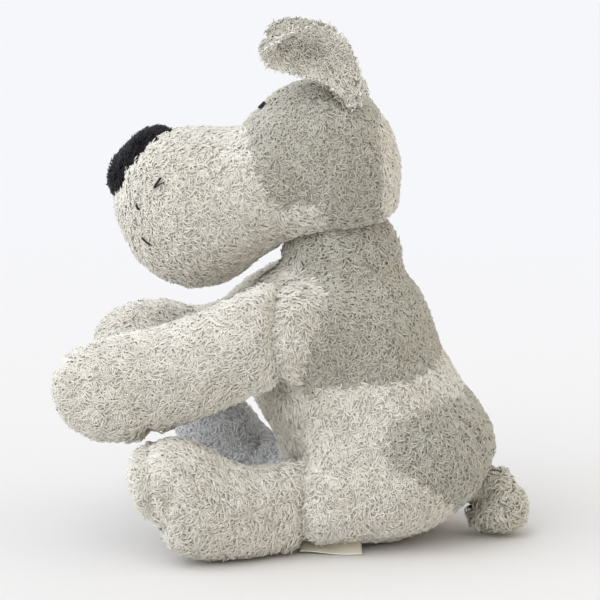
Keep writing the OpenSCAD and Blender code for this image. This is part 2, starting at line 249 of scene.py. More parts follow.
def pile_material(name, deep, middle, tip):
    """Curled fibre: darker at its root, as painted shade deep in the pile, each wisp of its own tone, with slow
    drifts of colour.
    """
    n = Nodes(name)
    # Ramp from root to tip: the darker roots are painted shade between the wisps
    base = n.ramp(n.attribute("along"), [(0.0, deep), (0.45, middle), (1.0, tip)])
    tone = n.ramp(n.attribute("tone"), WISP_TONES)
    toned = n.mix(1.0, base, tone, "MULTIPLY")
    stain = n.ramp(n.noise(55, 1.0), [(0.3, (0.95, 0.94, 0.92)), (0.7, (1.03, 1.03, 1.04))])
    n.link(n.mix(1.0, toned, stain, "MULTIPLY"), "Base Color")
    n.bump(n.noise(2600, 1.0), 0.2, 0.0002)
    return n.finish(0.92, 0.15)


def backing_material(name, colour):
    """Knitted backing between the wisps, mostly in their shade."""
    n = Nodes(name)
    knit = n.noise(900, 3.0)
    n.link(n.ramp(knit, [(0.3, scaled(colour, 0.8)), (0.7, colour)]), "Base Color")
    n.bump(knit, 0.5, 0.0005)
    return n.finish(0.95, 0.1)


def thread_material():
    n = Nodes("black_thread")
    strands = n.noise(1500, 2.0)
    n.link(n.ramp(strands, [(0.3, (0.008, 0.008, 0.01)), (0.7, (0.03, 0.03, 0.035))]), "Base Color")
    n.bump(n.noise(4000, 1.0), 0.4, 0.0001)
    return n.finish(0.45, 0.1)


def satin_material():
    n = Nodes("ivory_satin")
    place = n.add("ShaderNodeTexCoord")
    weave = n.add("ShaderNodeTexWave", {"Vector": place.outputs["Object"]}, bands_direction="X")
    weave.inputs["Scale"].default_value = 900
    cloud = n.noise(200, 2.0)
    # Ivory of the satin, raised towards white as painted light on a tag that lies in the body's shade
    n.link(n.ramp(cloud, [(0.3, (0.93, 0.88, 0.74)), (0.7, (0.98, 0.94, 0.82))]), "Base Color")
    n.bump(weave.outputs["Fac"], 0.2, 0.0001)
    n.shader.inputs["Anisotropic"].default_value = 0.5
    return n.finish(0.5, 0.3)


CREAM = (0.88, 0.845, 0.765)
GREY = (0.618, 0.594, 0.518)
# Cool grey of the far leg: its own bluish grey, set lighter than that mid grey as painted light on a leg that lies
# in shade
BLUE_GREY = (0.74, 0.752, 0.772)
LINING = (0.93, 0.905, 0.84)
# Tail grey, lighter than the grey pile of its slot: painted light on the tail, which lies in the body's shade
TAIL = (0.79, 0.757, 0.66)
BLACK = (0.012, 0.012, 0.015)


def shades(name, colour, deep=0.78):
    """Pile of one colour, with its roots at deep times that, as painted shade deep in the pile."""
    return pile_material(name, scaled(colour, deep), scaled(colour, 0.97), scaled(colour, 1.07))


PILE = {
    "cream": shades("cream_pile", CREAM, 0.86),
    "grey": shades("grey_pile", GREY),
    "blue_grey": shades("blue_grey_pile", BLUE_GREY),
    "lining": shades("lining_pile", LINING),
    # Tail pile: lighter grey as painted light, with roots at 0.68 as painted shade deep in the pile
    "tail": shades("tail_pile", TAIL, 0.68),
    "black": pile_material("nose_pile", (0.004, 0.004, 0.005), BLACK, (0.035, 0.035, 0.042)),
}
# The grey, blue-grey and tail backings are darker than their pile: painted shade under the wisps. The knit pattern
# in each is the fabric's own.
BACKING = {
    "cream": backing_material("cream_backing", CREAM),
    "grey": backing_material("grey_backing", scaled(GREY, 0.9)),
    "blue_grey": backing_material("blue_grey_backing", scaled(BLUE_GREY, 0.9)),
    "lining": backing_material("lining_backing", LINING),
    "tail": backing_material("tail_backing", scaled(TAIL, 0.8)),
    "black": backing_material("nose_backing", (0.01, 0.01, 0.012)),
}
PILE["ear"] = PILE["grey"]
BACKING["ear"] = BACKING["grey"]
THREAD = thread_material()
SATIN = satin_material()
# The record's material slot of the CAD nodes of each colour
SLOTS = {
    "cream": "cream_pile", "lining": "cream_pile", "grey": "grey_pile", "tail": "grey_pile",
    "blue_grey": "blue_grey_pile", "black": "nose_plush", "ear": "grey_pile",
}


# ---------------------------------------------------------------- mesh helpers
def new_piece(name, mesh):
    piece = bpy.data.objects.new(name, mesh)
    scene.collection.objects.link(piece)
    return piece


def points_of(mesh):
    co = np.zeros(len(mesh.vertices) * 3)
    mesh.vertices.foreach_get("co", co)
    return co.reshape(-1, 3)


def normals_of(mesh):
    n = np.zeros(len(mesh.vertices) * 3)
    mesh.vertices.foreach_get("normal", n)
    return n.reshape(-1, 3)


def set_points(mesh, co):
    mesh.vertices.foreach_set("co", co.astype(np.float32).ravel())
    mesh.update()


def unit(v):
    return v / np.maximum(np.linalg.norm(v, axis=-1, keepdims=True), 1e-12)


def apply_modifiers(piece):
    graph = bpy.context.evaluated_depsgraph_get()
    mesh = bpy.data.meshes.new_from_object(piece.evaluated_get(graph))
    piece.modifiers.clear()
    old = piece.data
    piece.data = mesh
    bpy.data.meshes.remove(old)


def drop(piece):
    mesh = piece.data
    bpy.data.objects.remove(piece)
    bpy.data.meshes.remove(mesh)


WELD = 0.02 * MM


def welded(node, grow):
    """Points and faces of a CAD node with its split corners joined, moved out by grow."""
    bm = bmesh.new()
    bm.from_mesh(frame["nodes"][node].data)
    bmesh.ops.remove_doubles(bm, verts=bm.verts, dist=WELD)
    bmesh.ops.recalc_face_normals(bm, faces=bm.faces)
    bm.normal_update()
    co = [tuple(v.co + v.normal * grow) for v in bm.verts]
    faces = [[v.index for v in f.verts] for f in bm.faces]
    bm.free()
    return co, faces


def ball(centre, radius, rings=12, turns=20):
    co = [(centre[0], centre[1], centre[2] + radius), (centre[0], centre[1], centre[2] - radius)]
    for i in range(1, rings):
        t = math.pi * i / rings
        for j in range(turns):
            a = 2 * math.pi * j / turns
            co.append((
                centre[0] + radius * math.sin(t) * math.cos(a),
                centre[1] + radius * math.sin(t) * math.sin(a),
                centre[2] + radius * math.cos(t),
            ))
    def at(i, j):
        return 2 + (i - 1) * turns + j % turns
    faces = [[0, at(1, j), at(1, j + 1)] for j in range(turns)]
    faces += [[1, at(rings - 1, j + 1), at(rings - 1, j)] for j in range(turns)]
    faces += [
        [at(i, j), at(i + 1, j), at(i + 1, j + 1), at(i, j + 1)]
        for i in range(1, rings - 1) for j in range(turns)
    ]
    return co, faces


def fused(name, solids):
    """One closed skin round several solids, with only its outer shell kept."""
    co, faces = [], []
    for part_co, part_faces in solids:
        start = len(co)
        co += part_co
        faces += [[start + i for i in f] for f in part_faces]
    mesh = bpy.data.meshes.new(name)
    mesh.from_pydata(co, [], faces)
    piece = new_piece(name, mesh)
    remesh = piece.modifiers.new("remesh", "REMESH")
    remesh.mode = "VOXEL"
    remesh.voxel_size = VOXEL
    apply_modifiers(piece)
    keep_largest_shell(piece.data)
    return piece


def keep_largest_shell(mesh):
    bm = bmesh.new()
    bm.from_mesh(mesh)
    bm.verts.ensure_lookup_table()
    left, shells = set(range(len(bm.verts))), []
    while left:
        stack, shell = [left.pop()], []
        while stack:
            i = stack.pop()
            shell.append(i)
            for e in bm.verts[i].link_edges:
                k = e.other_vert(bm.verts[i]).index
                if k in left:
                    left.discard(k)
                    stack.append(k)
        shells.append(shell)
    shells.sort(key=len)
    spare = [bm.verts[i] for shell in shells[:-1] for i in shell]
    bmesh.ops.delete(bm, geom=spare, context="VERTS")
    bm.to_mesh(mesh)
    bm.free()


def smooth(piece, factor, times):
    m = piece.modifiers.new("smooth", "SMOOTH")
    m.factor = factor
    m.iterations = times
    apply_modifiers(piece)


def refine(piece):
    m = piece.modifiers.new("subdivide", "SUBSURF")
    m.levels = 1
    apply_modifiers(piece)


PRESSURE = 1.5
PUFF_CAP = 1.8 * MM
PUFF_FRAMES = 16


def puff(piece, pinned):
    """Blows the fabric up like a stuffed cover: cloth under pressure, held along its seams."""
    rest = points_of(piece.data)
    group = piece.vertex_groups.new(name="seams")
    group.add([int(i) for i in pinned], 0.7, "REPLACE")
    cloth = piece.modifiers.new("cloth", "CLOTH")
    s = cloth.settings
    s.quality = 4
    s.mass = 0.25
    s.tension_stiffness = 12
    s.compression_stiffness = 6
    s.shear_stiffness = 4
    s.bending_stiffness = 0.2
    s.use_pressure = True
    s.uniform_pressure_force = PRESSURE
    s.vertex_group_mass = "seams"
    s.effector_weights.gravity = 0
    cloth.collision_settings.use_collision = False
    cloth.point_cache.frame_start = 1
    cloth.point_cache.frame_end = PUFF_FRAMES
    for f in range(1, PUFF_FRAMES + 1):
        scene.frame_set(f)
    apply_modifiers(piece)
    scene.frame_set(1)
    move = points_of(piece.data) - rest
    far = np.linalg.norm(move, axis=1, keepdims=True)
    set_points(piece.data, rest + move * np.minimum(1, PUFF_CAP / np.maximum(far, 1e-9)))


# ---------------------------------------------------------------- which panel a place belongs to
class Panels:
    """Finds the CAD cover nearest to a point."""

    def __init__(self, nodes):
        co, faces, self.owner = [], [], []
        for node in nodes:
            part_co, part_faces = welded(node, 0)
            start = len(co)
            co += part_co
            faces += [[start + i for i in f] for f in part_faces]
            self.owner += [node] * len(part_faces)
        self.tree = BVHTree.FromPolygons(co, faces)

    def at(self, point):
        _, _, index, _ = self.tree.find_nearest(point)
        return self.owner[index]


# The covers of each body, but for the small pieces that lie over another cover
NOT_COVERS = ("stuffing", "pouch", "label", "nose_cover", "stitches", "eye_left", "eye_right")
COVERS = {
    body: [n for n in nodes if not n.endswith(NOT_COVERS)]
    for body, nodes in frame["record"]["behaviour"]["bodies"].items()
}
COLOUR = {}
for sub in frame["record"]["subparts"]:
    for key in ("cream", "grey", "blue_grey", "black"):
        if sub["material_slot"] == SLOTS[key]:
            COLOUR[sub["node"]] = "tail" if sub["node"].startswith("tail") else key


def face_centres(mesh):
    c = np.zeros(len(mesh.polygons) * 3)
    mesh.polygons.foreach_get("center", c)
    return c.reshape(-1, 3)


def seam_distance(mesh, labels):
    """For each vertex, how far it is from the nearest seam between two of the labels."""
    touching = [set() for _ in mesh.vertices]
    for p, label in zip(mesh.polygons, labels):
        for i in p.vertices:
            touching[i].add(label)
    co = points_of(mesh)
    on_seam = [i for i, names in enumerate(touching) if len(names) > 1]
    tree = KDTree(len(on_seam))
    for k, i in enumerate(on_seam):
        tree.insert(co[i], k)
    tree.balance()
    return np.array([tree.find(c)[2] for c in co]), on_seam


def press_in(mesh, distance, depth, width):
    """Draws the skin in along a seam."""
    co, n = points_of(mesh), normals_of(mesh)
    amount = depth * np.exp(-((distance / width) ** 2))
    set_points(mesh, co - n * amount[:, None])


def wrinkles(mesh, distance, height, pitch, reach):
    """Puckers beside a sewn seam."""
    co, n = points_of(mesh), normals_of(mesh)
    uneven = np.sin(co[:, 2] * 310 + 1.3) * 0.4 + np.sin(co[:, 0] * 190) * 0.3
    wave = np.sin(2 * math.pi * distance / pitch + 2.2 * uneven + 1.2)
    share = np.where(co[:, 2] > WAIST_Z, 1.0, 0.35)
    set_points(mesh, co + n * (height * share * wave * np.exp(-distance / reach))[:, None])


def crease(mesh, start, end, depth, width, side, half):
    """A sewn line over a limb, from start to end in the XZ plane. It faces the side whose Y has
    the sign of side, on the half of the toy whose Y has the sign of half."""
    co, n = points_of(mesh), normals_of(mesh)
    a, b = np.array(start), np.array(end)
    p = co[:, [0, 2]]
    t = np.clip(((p - a) @ (b - a)) / ((b - a) @ (b - a)), 0, 1)
    d = np.linalg.norm(p - (a + t[:, None] * (b - a)), axis=1)
    facing = np.clip(n[:, 1] * side * 2 + 0.6, 0, 1) * (co[:, 1] * half > 0)
    set_points(mesh, co - n * (depth * facing * np.exp(-((d / width) ** 2)))[:, None])


# ---------------------------------------------------------------- skins
def stuffing(name, extra=0):
    """A CAD stuffing solid, grown to its cover's backing, and by extra where smoothing shrinks it."""
    return welded(name, COVER_AND_GAP - BACKING_DEPTH + extra)


def joint_ball(name, radius):
    return ball(joint_at[name], radius)


# Stuffing that carries each limb's root over into the side of the body: the joint and its
# radius, and the place in the body, in millimetres, and its radius
UPPER_FILLING = [("shoulder", 19 * MM, (30, 28, 84), 16 * MM)]
LOWER_FILLING = [
    ("hip", 18 * MM, (38, 38, 24), 13.5 * MM), ("hip", 18 * MM, (21, 33, 40), 14 * MM),
]


def filling(joint, radius, place, end_radius):
    """A row of balls from a limb's joint to a place in the body, on both sides."""
    solids = []
    for side, y in (("left", -1), ("right", 1)):
        end = Vector((place[0], place[1] * y, place[2])) * MM
        for t in (0.25, 0.5, 0.75, 1):
            centre = joint_at[f"{side}_{joint}"].lerp(end, t)
            solids.append(ball(centre, radius + (end_radius - radius) * t))
    return solids


# Balls of stuffing at the root of the tail: step from its joint and radius
TAIL_FILLING = [
    ((0, 0, 0), 7 * MM), ((-0.008, 0, 0.004), 8 * MM),
    ((-0.002, 0, -0.006), 8 * MM), ((-0.003, 0, -0.0115), 7.5 * MM),
]


WAIST_WELD = 0.05 * MM


def body_skin():
    """Skin of the torso with the arms, legs and tail sewn on."""
    upper = fused("upper", [
        stuffing("torso_stuffing"),
        stuffing("arm_left_stuffing", 1.5 * MM), stuffing("arm_right_stuffing", 2.6 * MM),
        joint_ball("left_shoulder", 19.5 * MM), joint_ball("right_shoulder", 19.5 * MM),
        *(solid for row in UPPER_FILLING for solid in filling(*row)),
    ])
    lower = fused("lower", [
        stuffing("torso_stuffing"),
        stuffing("leg_left_stuffing", 0.7 * MM), stuffing("leg_right_stuffing", 0.7 * MM),
        stuffing("tail_stuffing", 1.3 * MM),
        joint_ball("left_hip", 18 * MM), joint_ball("right_hip", 18 * MM),
        *(solid for row in LOWER_FILLING for solid in filling(*row)),
        *(ball(joint_at["tail_wag"] + Vector(step), radius) for step, radius in TAIL_FILLING),
    ])
    nodes = {
        "upper": COVERS["torso"] + COVERS["left_arm"] + COVERS["right_arm"],
        "lower": COVERS["torso"] + COVERS["left_leg"] + COVERS["right_leg"] + COVERS["tail"],
    }
    keep_co, keep_faces = [], []
    for piece, half in ((upper, "upper"), (lower, "lower")):
        panels = Panels(nodes[half])
        start = len(keep_co)
        keep_co += [tuple(v.co) for v in piece.data.vertices]
        centres = face_centres(piece.data)
        for p, c in zip(piece.data.polygons, centres):
            on_torso = panels.at(c) in COVERS["torso"]
            if not on_torso or (c[2] > WAIST_Z) == (half == "upper"):
                keep_faces.append([start + i for i in p.vertices])
        drop(piece)
    mesh = bpy.data.meshes.new("body_skin")
    mesh.from_pydata(keep_co, [], keep_faces)
    bm = bmesh.new()
    bm.from_mesh(mesh)
    bmesh.ops.remove_doubles(bm, verts=bm.verts, dist=WAIST_WELD)
    bmesh.ops.delete(bm, geom=[v for v in bm.verts if not v.link_faces], context="VERTS")
    bm.to_mesh(mesh)
    bm.free()
    piece = new_piece("body_skin", mesh)
    smooth(piece, 0.5, 2)
    fair_roots(piece)
    return piece


# Round each limb's root, the skin is faired within this reach and outside this distance from
# the middle
ROOT_REACH = 36 * MM
ROOT_INNER_Y = 22 * MM
ROOT_BEHIND = Vector((0.012, 0, 0))


def fair_roots(piece):
    """Blends the round root of each limb into the side of the body behind it."""
    roots = [(joint_at[side + "_shoulder"], ARM_SEAM_X) for side in ("left", "right")]
    roots += [(joint_at[side + "_hip"], HIP_SEAM_X) for side in ("left", "right")]
    group = piece.vertex_groups.new(name="roots")
    for i, c in enumerate(points_of(piece.data)):
        for joint, seam_x in roots:
            centre = joint + ROOT_BEHIND
            near = 1 - (Vector(c) - centre).length / ROOT_REACH
            if near > 0 and c[0] > seam_x and c[1] * joint.y > 0 and abs(c[1]) > ROOT_INNER_Y:
                weight = min(1, 3 * near) * min(1, (c[0] - seam_x) / (5 * MM))
                group.add([i], weight, "REPLACE")
    m = piece.modifiers.new("fair", "SMOOTH")
    m.factor = 0.7
    m.iterations = 60
    m.vertex_group = "roots"
    apply_modifiers(piece)


# Front edge of the cape on the sides of the body, from its hem over the shoulder to the neck,
# and the height of the hem beside the chest
CAPE_EDGE_Z = np.array([60, 74, 89, 106, 111, 121]) * MM
CAPE_EDGE_X = np.array([4, 5.6, 9, 13, 4, -2]) * MM
CAPE_HEM_Z = 66 * MM


def label_body(mesh):
    """CAD cover of each face, with the limbs cut off at their seams."""
    names = [b for b in COVERS if b not in ("head", "left_ear", "right_ear")]
    everything = Panels([n for b in names for n in COVERS[b]])
    torso = Panels(COVERS["torso"])
    body_of = {n: b for b in names for n in COVERS[b]}
    labels = []
    for c in face_centres(mesh):
        node = everything.at(c)
        body = body_of[node]
        past_arm = body.endswith("arm") and c[0] > ARM_SEAM_X
        past_leg = body.endswith("leg") and c[0] > HIP_SEAM_X
        if past_arm or node.startswith(("chest", "cape")):
            front = c[0] < np.interp(c[2], CAPE_EDGE_Z, CAPE_EDGE_X)
            front = front or (node.startswith("chest") and c[2] < CAPE_HEM_Z)
            node = ("chest" if front else "cape") + ("_left" if c[1] < 0 else "_right")
        elif past_leg:
            node = torso.at(c)
        labels.append(node)
    return labels, body_of


def head_skin():
    piece = fused("head_skin", [stuffing("head_stuffing"), joint_ball("neck_nod", 20 * MM)])
    smooth(piece, 0.5, 3)
    return piece


def split_off(source, faces, name):
    """A new piece from some faces of a skin."""
    co = points_of(source.data)
    polygons = [list(source.data.polygons[i].vertices) for i in faces]
    used = sorted({i for p in polygons for i in p})
    new_index = {old: k for k, old in enumerate(used)}
    mesh = bpy.data.meshes.new(name)
    faces_in_new = [[new_index[i] for i in p] for p in polygons]
    mesh.from_pydata([tuple(co[i]) for i in used], [], faces_in_new)
    mesh.polygons.foreach_set("use_smooth", [True] * len(polygons))
    return new_piece(name, mesh)


# ---------------------------------------------------------------- pile
# Length and half width of a wisp in millimetres, wisps per square millimetre, pitch off the
# backing at its root and tip, how much it curls to the side, how freely it is turned from the
# flow, each on its own and with its neighbours, and the backing's share of its shading
Style = namedtuple("Style", "length radius density lift curl spread swirl soft")
STYLE = {
    "cream": Style(4.3, 0.37, 1.6, (0.85, -0.4), 1.5, 0.6, 0.6, 0.6),
    "grey": Style(3.8, 0.36, 1.65, (0.95, -0.55), 2.1, 0.9, 1.1, 0.6),
    "blue_grey": Style(3.8, 0.36, 1.5, (0.95, -0.5), 2.0, 0.8, 1.0, 0.6),
    "lining": Style(3.9, 0.37, 1.9, (1.0, -0.4), 1.9, 0.9, 0.9, 0.25),
    "ear": Style(4.1, 0.36, 1.9, (1.0, -0.4), 2.1, 0.9, 1.1, 0.25),
    "tail": Style(3.9, 0.4, 1.5, (1.0, -0.4), 1.5, 0.8, 1.2, 0.6),
    "black": Style(3.5, 0.3, 2.6, (1.1, 0.1), 1.2, 0.9, 0.4, 0.6),
}
# The exported model keeps a piece of up to this many wisps whole
MOST_WISPS = 9400
# A wisp's rings and their sides, and its girth at each ring
RINGS = 4
SIDES = 3
GIRTH = np.array([0.6, 1.0, 1.0, 0.72])
# How deep its root is sunk, and over what distance swirls and tones of the pile turn over
ROOT_SINK = 0.5 * MM
SWIRL_PITCH = 9 * MM
TONE_PITCH = 14 * MM


def scatter(mesh, faces, per_area, generator):
    """Random roots on some faces of a mesh: places and smooth normals."""
    mesh.calc_loop_triangles()
    tri = np.zeros(len(mesh.loop_triangles) * 3, np.int32)
    mesh.loop_triangles.foreach_get("vertices", tri)
    tri = tri.reshape(-1, 3)
    owner = np.zeros(len(mesh.loop_triangles), np.int32)
    mesh.loop_triangles.foreach_get("polygon_index", owner)
    if faces is not None:
        chosen = np.zeros(len(mesh.polygons), bool)
        chosen[faces] = True
        tri = tri[chosen[owner]]
    co, n = points_of(mesh), normals_of(mesh)
    a, b, c = co[tri[:, 0]], co[tri[:, 1]], co[tri[:, 2]]
    area = np.linalg.norm(np.cross(b - a, c - a), axis=1) / 2
    count = int(area.sum() * per_area)
    pick = generator.choice(len(tri), count, p=area / area.sum())
    u, v = generator.random(count), generator.random(count)
    flip = u + v > 1
    u[flip], v[flip] = 1 - u[flip], 1 - v[flip]
    u, v = u[:, None], v[:, None]
    places = a[pick] * (1 - u - v) + b[pick] * u + c[pick] * v
    n = n[tri[pick]]
    return places, unit(n[:, 0] * (1 - u - v) + n[:, 1] * u + n[:, 2] * v)


def drift(places, pitch, seed):
    """A smooth wandering value from -1 to 1 that turns over about every pitch."""
    x, y, z = (places * (2 * math.pi / pitch)).T
    first = np.sin(x + 1.7 * np.sin(0.6 * z + seed) + 0.5 * y)
    second = np.sin(0.8 * z - 1.3 * np.sin(0.7 * x + 2 * seed) + 0.6 * y + seed)
    return (first + second) / 2


def comb(places, normals, flow, style, generator, length_scale):
    """Curled, tapered wisps. Gives their points, shading normals, and along and tone values."""
    n = len(places)
    flow = np.broadcast_to(np.array(flow, float), (n, 3))
    across = unit(np.cross(normals, flow) + 1e-6)
    ahead = unit(np.cross(across, normals))
    length = style.length * MM * generator.uniform(0.7, 1.3, n) * length_scale
    radius = style.radius * MM * generator.uniform(0.75, 1.25, n)
    swirl = 2 * style.swirl * drift(places, SWIRL_PITCH, 0.4)
    heading = generator.normal(0, style.spread, n) + swirl
    curl = generator.normal(0, style.curl, n)
    rise = style.lift[0] * generator.uniform(0.7, 1.2, n)
    fall = style.lift[1] * generator.uniform(0.5, 1.4, n)
    place = places - normals * ROOT_SINK
    rings, facings, values = [], [], []
    for k, s in enumerate(np.linspace(0, 1, RINGS + 1)):
        angle = heading + curl * s
        pitch = rise + (fall - rise) * s
        level = ahead * np.cos(angle)[:, None] + across * np.sin(angle)[:, None]
        direction = level * np.cos(pitch)[:, None] + normals * np.sin(pitch)[:, None]
        if k == RINGS:
            rings.append(place[:, None, :])
            facings.append(direction[:, None, :])
            values.append(np.full((n, 1), 1.0))
            break
        side = unit(np.cross(direction, normals) + 1e-9)
        top = np.cross(side, direction)
        turn = np.linspace(0, 2 * math.pi, SIDES, endpoint=False) + math.pi / 2
        ring = side[:, None] * np.cos(turn)[None, :, None] + top[:, None] * np.sin(turn)[None, :, None]
        rings.append(place[:, None, :] + ring * (radius * GIRTH[k])[:, None, None])
        facings.append(ring)
        values.append(np.full((n, SIDES), s))
        place = place + direction * (length / RINGS)[:, None]
    co = np.concatenate(rings, 1)
    co[:, :, 2] = np.maximum(co[:, :, 2], FLOOR_GAP)
    facing = unit(np.concatenate(facings, 1) * (1 - style.soft) + normals[:, None] * style.soft)
    own = 0.5 + 0.2 * drift(places, TONE_PITCH, 2.1) + generator.normal(0, 0.2, n)
    tone = np.repeat(np.clip(own, 0, 1)[:, None], co.shape[1], 1)
    return co, facing, np.concatenate(values, 1), tone


def wisp_mesh(name, co, facing, along, tone):
    """Mesh of many separate wisps that share one pattern of faces."""
    n, corners = co.shape[:2]
    beside = [(j + 1) % SIDES for j in range(SIDES)]
    starts = [k * SIDES for k in range(RINGS)]
    quads = [
        [start + j, start + SIDES + j, start + SIDES + beside[j], start + beside[j]]
        for start in starts[:-1] for j in range(SIDES)
    ]
    last = starts[-1]
    tips = [[last + j, last + SIDES, last + beside[j]] for j in range(SIDES)]
    shift = (np.arange(n) * corners)[:, None, None]
    quads = (np.array(quads)[None] + shift).reshape(-1, 4)
    tips = (np.array(tips)[None] + shift).reshape(-1, 3)
    mesh = bpy.data.meshes.new(name)
    mesh.vertices.add(n * corners)
    mesh.vertices.foreach_set("co", co.astype(np.float32).ravel())
    loops = np.concatenate([quads.ravel(), tips.ravel()])
    mesh.loops.add(len(loops))
    mesh.loops.foreach_set("vertex_index", loops.astype(np.int32))
    mesh.polygons.add(len(quads) + len(tips))
    loop_starts = np.concatenate([np.arange(len(quads)) * 4, quads.size + np.arange(len(tips)) * 3])
    mesh.polygons.foreach_set("loop_start", loop_starts.astype(np.int32))
    mesh.polygons.foreach_set("use_smooth", np.ones(len(quads) + len(tips), bool))
    mesh.update(calc_edges=True)
    for key, value in (("along", along), ("tone", tone)):
        layer = mesh.attributes.new(key, "FLOAT", "POINT")
        layer.data.foreach_set("value", value.astype(np.float32).ravel())
    layer = mesh.attributes.new("custom_normal", "FLOAT_VECTOR", "POINT")
    layer.data.foreach_set("vector", facing.astype(np.float32).ravel())
    return mesh


def grow_pile(name, source, faces, colour, flow, skip, scale):
    """Pile on some faces of a skin, or on all if faces is None, in as many pieces as its wisps
    need. skip tells which roots are left out, and scale how long the others' wisps are."""
    style = STYLE[colour]
    thin = 1.0
    places, normals = scatter(source.data, faces, style.density * thin / MM**2, random)
    keep = np.ones(len(places), bool) if skip is None else ~skip(places, normals)
    places, normals = places[keep], normals[keep]
    wisps = comb(places, normals, flow, style, random, scale(places))
    count = math.ceil(len(places) / MOST_WISPS)
    pieces = []
    for k in range(count):
        part = [values[k::count] for values in wisps]
        piece = new_piece(name if k == 0 else f"{name}_{k + 1}", wisp_mesh(name, *part))
        piece.data.materials.append(PILE[colour])
        pieces.append(piece)
    return pieces


# ---------------------------------------------------------------- moving with the bodies
BLENDS = {
    "left_arm": ((ARM_SEAM_X, -0.05, 0.085), (-0.026, -0.05, 0.08)),
    "right_arm": ((ARM_SEAM_X, 0.05, 0.085), (-0.026, 0.05, 0.08)),
    "left_leg": ((HIP_SEAM_X, -0.045, 0.02), (-0.02, -0.052, 0.02)),
    "right_leg": ((HIP_SEAM_X, 0.045, 0.02), (-0.02, 0.052, 0.02)),
    "tail": ((0.079, 0, 0.026), (0.085, 0, 0.013)),
    "left_ear": ((0.0277, -0.0222, 0.1857), (0.02, -0.026, 0.196)),
    "right_ear": ((0.0277, 0.0222, 0.1857), (0.02, 0.026, 0.196)),
}


def attach(piece, body):
    if body in BLENDS:
        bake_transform(piece)
    else:
        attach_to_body(piece, body)


# ---------------------------------------------------------------- the toy
# Which way the pile of each body is brushed
FLOW = {
    "torso": (0.1, 0, -1), "head": (1, 0, -0.35), "tail": (0.3, 0, -1),
    "left_arm": (-1, 0, -0.25), "right_arm": (-1, 0, -0.25),
    "left_leg": (-1, 0, -0.5), "right_leg": (-1, 0, -0.5),
}
EAR_FLOW = (-1, 0, 0.5)
# Depth and width of the groove along a seam between two panels, and round a limb's root
SEAM_DEPTH, SEAM_WIDTH = 0.7 * MM, 2.6 * MM
ROOT_DEPTH, ROOT_WIDTH = 4 * MM, 3 * MM
# Sewn creases of the legs: ends in the XZ plane, depth, width, and the side that they face and
# the half of the toy that they are on, as signs of Y
CREASES = [
    ((-0.0555, 0.052), (-0.049, 0.014), 3.6 * MM, 2.8 * MM, -1, -1),
    ((-0.0425, 0.033), (-0.046, 0.016), 2.6 * MM, 2.4 * MM, -1, -1),
    ((-0.0555, 0.052), (-0.049, 0.014), 3.6 * MM, 2.8 * MM, 1, 1),
    ((-0.0425, 0.033), (-0.046, 0.016), 2.6 * MM, 2.4 * MM, 1, 1),
    ((-0.019, 0.056), (-0.023, 0.028), 5 * MM, 2.4 * MM, -1, 1),
]
# Pile is left out where it is deeper than this inside the other skin at the neck, which only
# the covers that reach above this height can be
BURIED = 4 * MM
NEAR_HEAD_Z = 100 * MM


def inside(tree, places, normals, depth):
    """Whether each place lies deeper than depth inside the closed skin of the tree."""
    out = np.zeros(len(places), bool)
    for i, p in enumerate(places):
        near, n, _, d = tree.find_nearest(p)
        out[i] = (Vector(p) - near).dot(n) < 0 and d > depth
    return out


def build_body(head_tree):
    skin = body_skin()
    labels, body_of = label_body(skin.data)
    distance, on_seam = seam_distance(skin.data, labels)
    puff(skin, on_seam)
    bodies = [body_of[n] for n in labels]
    limb_distance, _ = seam_distance(skin.data, bodies)
    wrinkles(skin.data, limb_distance, 0.9 * MM, 6 * MM, 7 * MM)
    press_in(skin.data, limb_distance, ROOT_DEPTH, ROOT_WIDTH)
    press_in(skin.data, distance, SEAM_DEPTH, SEAM_WIDTH)
    for row in CREASES:
        crease(skin.data, *row)
    co = points_of(skin.data)
    co[:, 2] = np.maximum(co[:, 2], FLOOR_GAP)
    set_points(skin.data, co)
    for body in sorted(set(bodies)):
        faces = [i for i, b in enumerate(bodies) if b == body]
        piece = split_off(skin, faces, body + "_backing")
        for node in sorted({labels[i] for i in faces}):
            if BACKING[COLOUR[node]].name not in piece.data.materials:
                piece.data.materials.append(BACKING[COLOUR[node]])
        names = [m.name for m in piece.data.materials]
        index = [names.index(BACKING[COLOUR[labels[i]]].name) for i in faces]
        piece.data.polygons.foreach_set("material_index", index)
        refine(piece)
        attach(piece, body)
        filled = frame["record"]["behaviour"]["bodies"][body]
        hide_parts(*[n for n in filled if n.endswith(("stuffing", "pouch"))])

    def under_head(places, normals):
        return inside(head_tree, places, normals, BURIED)

    skin.data.polygons.foreach_set("use_smooth", [True] * len(skin.data.polygons))
    for node in sorted(set(labels)):
        faces = [i for i, n in enumerate(labels) if n == node]
        body = body_of[node]
        skip = under_head if top_of(skin, faces) > NEAR_HEAD_Z else None
        look = COLOUR[node], FLOW[body]
        for pile in grow_pile(node + "_pile", skin, faces, *look, skip, pile_length(node)):
            attach(pile, body)
            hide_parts(node)
    return skin


# Nodes whose pile is longer than the rest, and the height from which it is longer round the neck
LONG_PILE = {"tail_left": 1.35, "tail_right": 1.35, "rump_patch": 1.2}
NECK_PILE = 1.35
NECK_Z = 112 * MM


def pile_length(node):
    def scale(places):
        return np.where(places[:, 2] > NECK_Z, NECK_PILE, LONG_PILE.get(node, 1.0))
    return scale


def top_of(skin, faces):
    return max(skin.data.polygons[i].center[2] for i in faces)


def tree_of(piece):
    return BVHTree.FromPolygons(
        [tuple(v.co) for v in piece.data.vertices], [list(p.vertices) for p in piece.data.polygons]
    )


# The black pile of the nose covers the skin up to this far from the CAD nose, over a skin
# raised by this much, with an edge this wide
NOSE_REACH = 4.9 * MM
NOSE_RISE = 2.2 * MM
NOSE_EDGE = 1.5 * MM


